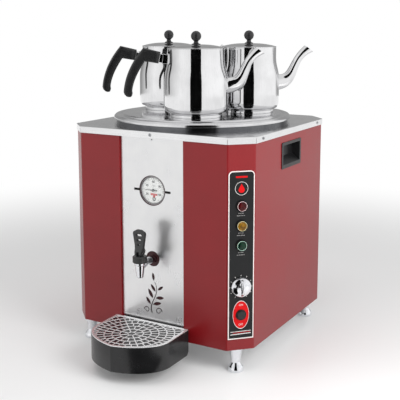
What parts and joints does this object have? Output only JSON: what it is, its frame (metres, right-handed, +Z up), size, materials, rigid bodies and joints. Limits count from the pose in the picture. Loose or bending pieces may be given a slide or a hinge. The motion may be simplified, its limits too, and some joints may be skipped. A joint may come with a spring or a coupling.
{
  "type": "hot water urn",
  "caption": "Octagonal hot water urn with a front tap, drip tray, thermometer, control panel and a round tank lid carrying lidded teapots.",
  "frame": {"origin": "on the surface under the feet, at the middle of the whole object's width and depth", "axes": "+Z up, -Y towards the tap and the drip tray, +X towards the side with the control panel"},
  "size_m": [0.4472, 0.5923, 0.689],
  "materials": {
    "stainless": "brushed",
    "polished_steel": "mirror polished stainless",
    "chrome": "plated",
    "steel_fixings": "plain",
    "zinc_plated": "plated",
    "heater_steel": "drawn tube",
    "burgundy_paint": "fine textured gloss powder coat",
    "charcoal_panel": "satin",
    "silver_trim": "satin",
    "black_plastic": "moulded satin",
    "tray_plastic": "moulded satin",
    "black_paint": "matt",
    "red_lens": "clear tinted",
    "amber_lens": "clear tinted",
    "green_lens": "clear tinted",
    "red_label": "printed",
    "white_dial": "printed enamel",
    "clear_glass": "flat",
    "brass": "turned",
    "silicone": "moulded",
    "ceramic": "moulded",
    "mineral_wool": "pressed"
  },
  "bodies": {
    "urn": {"base_plate": "stainless", "left_side_panel": "burgundy_paint", "right_side_panel": "burgundy_paint", "rear_panel": "burgundy_paint", "inner_front_panel": "burgundy_paint", "front_plate": "stainless", "top_cover": "stainless", "cover_screws": "steel_fixings", "feet": "chrome", "cable_gland": "black_plastic", "terminal_block": "ceramic", "water_tank": "stainless", "tank_stand": "stainless", "tank_insulation": "mineral_wool", "heating_element": "heater_steel", "thermostat": "zinc_plated", "panel_frame": "silver_trim", "control_panel": "charcoal_panel", "lamp_barrels": "black_plastic", "lamp_red": "red_lens", "lamp_amber": "amber_lens", "lamp_green": "green_lens", "oval_label": "red_label", "button_switch": "black_plastic", "gauge_case": "chrome", "gauge_dial": "white_dial", "gauge_lens": "clear_glass", "tap_body": "chrome", "tap_nut": "brass", "tap_bonnet": "black_plastic", "valve_spring": "steel_fixings", "left_handle": "black_plastic", "right_handle": "black_plastic", "tray_bracket": "stainless"},
    "valve": {"valve_stem": "steel_fixings", "seat_cup": "silicone", "lever_pin": "steel_fixings"},
    "lever": {"tap_lever": "black_plastic"},
    "knob": {"thermostat_knob": "chrome", "thermostat_shaft": "steel_fixings"},
    "button": {"push_button": "black_plastic"},
    "pointer": {"gauge_pointer": "black_paint"},
    "tray": {"drip_tray": "tray_plastic"},
    "grid": {"tray_grid": "polished_steel"},
    "lid": {"tank_lid": "polished_steel"},
    "front_pot": {"front_pot_vessel": "polished_steel", "front_pot_spout": "polished_steel", "front_pot_handle": "black_plastic"},
    "front_pot_cover": {"front_pot_lid": "polished_steel", "front_pot_knob": "black_plastic"},
    "left_pot": {"left_pot_vessel": "polished_steel", "left_pot_spout": "polished_steel", "left_pot_handle": "black_plastic"},
    "left_pot_cover": {"left_pot_lid": "polished_steel", "left_pot_knob": "black_plastic"},
    "right_pot": {"right_pot_vessel": "polished_steel", "right_pot_spout": "polished_steel", "right_pot_handle": "black_plastic"},
    "right_pot_cover": {"right_pot_lid": "polished_steel", "right_pot_knob": "black_plastic"}
  },
  "joints": [
    {"name": "valve_lift", "type": "slide", "parent": "urn", "child": "valve", "axis": [0, 0, 1], "range_m": [0, 0.004], "stiffness_N_per_m": 1500, "deforming": ["valve_spring"]},
    {"name": "lever_tilt", "type": "hinge", "parent": "valve", "child": "lever", "pos_m": [0, -0.1888, 0.2402], "axis": [1, 0, 0], "range_deg": [0, 60]},
    {"name": "thermostat_turn", "type": "hinge", "parent": "urn", "child": "knob", "pos_m": [0.20077, -0.12657, 0.184], "axis": [-0.7071, 0.7071, 0], "range_deg": [0, 300]},
    {"name": "button_press", "type": "slide", "parent": "urn", "child": "button", "axis": [-0.7071, 0.7071, 0], "range_m": [0, 0.003], "stiffness_N_per_m": 400},
    {"name": "pointer_turn", "type": "hinge", "parent": "urn", "child": "pointer", "pos_m": [0, -0.1368, 0.362], "axis": [0, 1, 0], "range_deg": [-45, 225], "stiffness_Nm_per_rad": 0.001},
    {"name": "tray_slide", "type": "slide", "parent": "urn", "child": "tray", "axis": [0, -1, 0], "range_m": [0, 0.16]},
    {"name": "grid_lift", "type": "slide", "parent": "tray", "child": "grid", "axis": [0, 0, 1], "range_m": [0, 0.08]},
    {"name": "lid_lift", "type": "slide", "parent": "urn", "child": "lid", "axis": [0, 0, 1], "range_m": [0, 0.12]},
    {"name": "front_pot_lift", "type": "slide", "parent": "lid", "child": "front_pot", "axis": [0, 0, 1], "range_m": [0, 0.12]},
    {"name": "left_pot_lift", "type": "slide", "parent": "lid", "child": "left_pot", "axis": [0, 0, 1], "range_m": [0, 0.12]},
    {"name": "right_pot_lift", "type": "slide", "parent": "lid", "child": "right_pot", "axis": [0, 0, 1], "range_m": [0, 0.12]},
    {"name": "front_cover_lift", "type": "slide", "parent": "front_pot", "child": "front_pot_cover", "axis": [0, 0, 1], "range_m": [0, 0.06]},
    {"name": "left_cover_lift", "type": "slide", "parent": "left_pot", "child": "left_pot_cover", "axis": [0, 0, 1], "range_m": [0, 0.06]},
    {"name": "right_cover_lift", "type": "slide", "parent": "right_pot", "child": "right_pot_cover", "axis": [0, 0, 1], "range_m": [0, 0.06]}
  ],
  "couplings": [
    {"joint": "lever_tilt", "follows": "valve_lift", "rad_per_m": 261.8}
  ]
}
